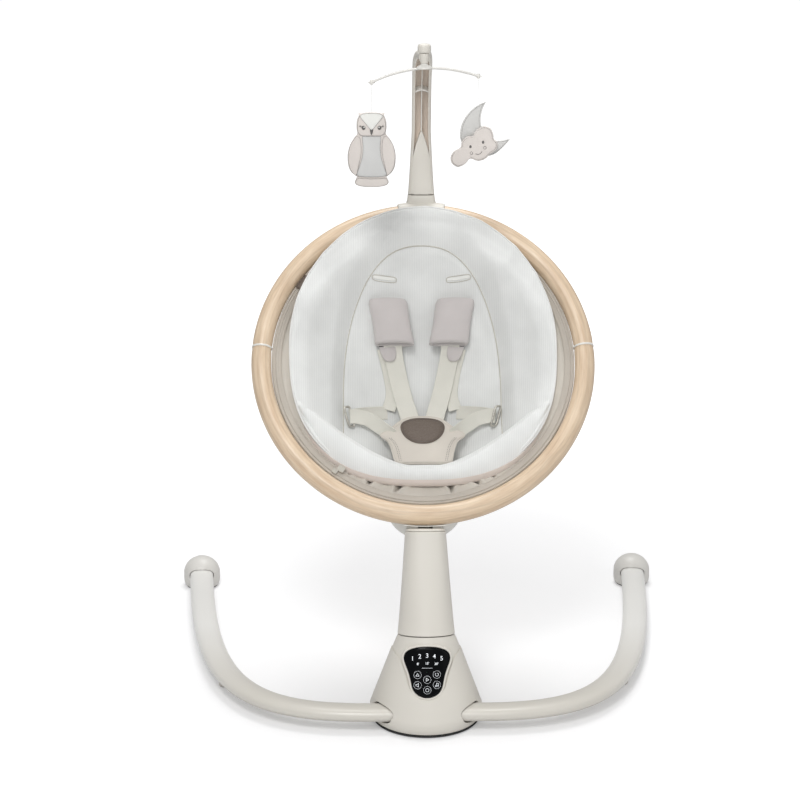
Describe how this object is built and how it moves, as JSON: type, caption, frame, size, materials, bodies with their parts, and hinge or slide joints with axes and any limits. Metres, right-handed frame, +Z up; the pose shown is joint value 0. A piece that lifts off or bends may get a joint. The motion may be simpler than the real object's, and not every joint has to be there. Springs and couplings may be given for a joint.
{
  "type": "baby swing",
  "caption": "Electric baby swing: tubular floor base with motor hub and touch panel, swinging post, reclining round bowl seat with harness, lift-off toy bar with turning mobile.",
  "frame": {"origin": "on the floor, under the middle of the object's bounding box", "axes": "+Z up, -Y towards the front (the control panel), +X to the right seen from the front"},
  "size_m": [0.781, 0.6412, 0.9297],
  "materials": {
    "badge_leather": "leatherette",
    "bearing_plastic": "natural",
    "black_gloss": "gloss",
    "buckle_cover": "quilted fabric",
    "circuit_board": "solder mask",
    "copper_coil": "enamelled wire",
    "cream_metal": "satin powder coat",
    "cream_plastic": "satin moulded",
    "liner_fabric": "ribbed knit",
    "pad_fabric": "padded knit",
    "rubber": "matt",
    "sling_fabric": "woven twill",
    "steel": "zinc-plated",
    "thread": "nylon",
    "toy_blush": "plush felt",
    "toy_grey": "plush felt",
    "webbing": "woven",
    "wood_look": "maple-grain wrap, satin",
    "zip_tape": "woven tape"
  },
  "bodies": {
    "base": {"control_board": "circuit_board", "control_panel": "black_gloss", "drive_coil": "copper_coil", "end_foot_left": "cream_plastic", "end_foot_right": "cream_plastic", "hub_base_pan": "cream_plastic", "hub_collar": "cream_plastic", "hub_rubber_pad": "rubber", "hub_shell": "cream_plastic", "leg_left": "cream_metal", "leg_right": "cream_metal", "lower_bearing_block": "cream_plastic", "lower_bush": "bearing_plastic", "mid_foot_left": "rubber", "mid_foot_right": "rubber", "panel_bezel": "cream_plastic", "power_inlet": "rubber", "speaker": "rubber", "upper_bearing_plate": "cream_plastic", "upper_bush": "bearing_plastic"},
    "swing_arm": {"drive_magnet": "steel", "magnet_arm": "cream_plastic", "pivot_tongue": "steel", "post_cover_front": "cream_plastic", "post_cover_rear": "cream_plastic", "swing_shaft": "steel"},
    "seat": {"buckle_cover": "buckle_cover", "cover_badge": "badge_leather", "crotch_strap": "webbing", "harness_buckle": "rubber", "hoop_joint_left": "cream_plastic", "hoop_joint_right": "cream_plastic", "hoop_lower": "wood_look", "hoop_upper": "wood_look", "liner_front_lip": "liner_fabric", "pivot_dome": "cream_plastic", "recline_pin": "steel", "seat_liner": "liner_fabric", "seat_sling": "sling_fabric", "shoulder_pad_left": "pad_fabric", "shoulder_pad_right": "pad_fabric", "shoulder_strap_left": "webbing", "shoulder_strap_right": "webbing", "side_tag": "badge_leather", "toy_bar_socket": "cream_plastic", "waist_slide_left": "steel", "waist_slide_right": "steel", "waist_strap_left": "webbing", "waist_strap_right": "webbing", "zip_band": "zip_tape"},
    "recline_lever": {"recline_lever": "cream_plastic"},
    "toy_bar": {"toy_bar_arch": "cream_plastic"},
    "mobile": {"mobile_knob": "cream_plastic", "mobile_rod": "cream_plastic"},
    "owl_toy": {"owl": "toy_blush", "owl_thread": "thread"},
    "moon_toy": {"cloud": "toy_blush", "moon": "toy_grey", "moon_thread": "thread"}
  },
  "joints": [
    {"name": "swing", "type": "hinge", "parent": "base", "child": "swing_arm", "pos_m": [0, -0.241, 0.126], "axis": [0, 0.2419, 0.9703], "range_deg": [-15, 15]},
    {"name": "seat_recline", "type": "hinge", "parent": "swing_arm", "child": "seat", "pos_m": [0, -0.144, 0.279], "axis": [-1, 0, 0], "range_deg": [0, 12]},
    {"name": "recline_lever_pull", "type": "hinge", "parent": "seat", "child": "recline_lever", "pos_m": [0, -0.1175, 0.259], "axis": [1, 0, 0], "range_deg": [0, 11.5], "stiffness_Nm_per_rad": 0.5},
    {"name": "toy_bar_lift", "type": "slide", "parent": "seat", "child": "toy_bar", "axis": [0, 0, 1], "range_m": [0, 0.045]},
    {"name": "mobile_turn", "type": "hinge", "parent": "toy_bar", "child": "mobile", "pos_m": [0, -0.051, 0.8955], "axis": [0, 0, 1], "continuous": true},
    {"name": "owl_swing", "type": "hinge", "parent": "mobile", "child": "owl_toy", "pos_m": [-0.07402, -0.051, 0.87253], "axis": [1, 0, 0], "range_deg": [-30, 30]},
    {"name": "moon_swing", "type": "hinge", "parent": "mobile", "child": "moon_toy", "pos_m": [0.07574, -0.051, 0.8809], "axis": [1, 0, 0], "range_deg": [-30, 30]}
  ]
}
